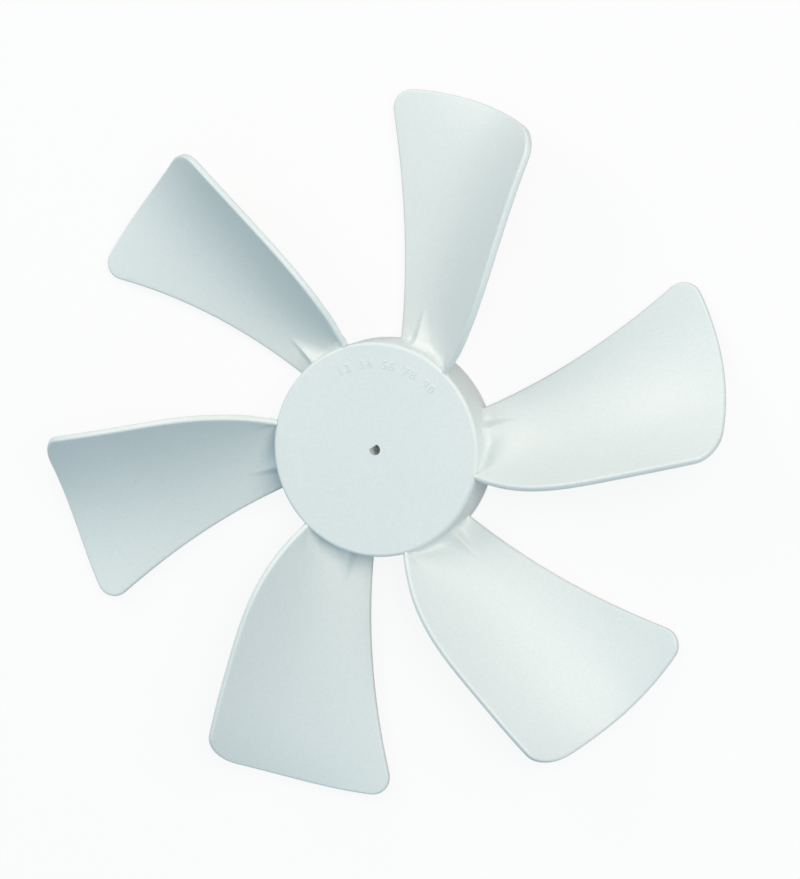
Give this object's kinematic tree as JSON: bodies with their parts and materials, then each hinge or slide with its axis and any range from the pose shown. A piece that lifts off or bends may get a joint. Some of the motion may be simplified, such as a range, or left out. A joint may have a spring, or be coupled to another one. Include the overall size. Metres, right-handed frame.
{
  "type": "axial fan impeller",
  "caption": "Moulded plastic axial fan impeller: broad twisted, cambered blades with gusseted roots round a shallow closed-face hub with a D-shaped shaft bore.",
  "frame": {"origin": "on the shaft's axis, in the plane of the hub's open back rim, on which the impeller rests", "axes": "+Z along the shaft's axis, out of the hub's closed face; +X along the reference line of the first blade"},
  "size_m": [0.1526, 0.1466, 0.0198],
  "materials": {
    "white_plastic": "satin moulded, slightly cool white"
  },
  "bodies": {
    "root": {"fan_impeller": "white_plastic"}
  },
  "joints": []
}
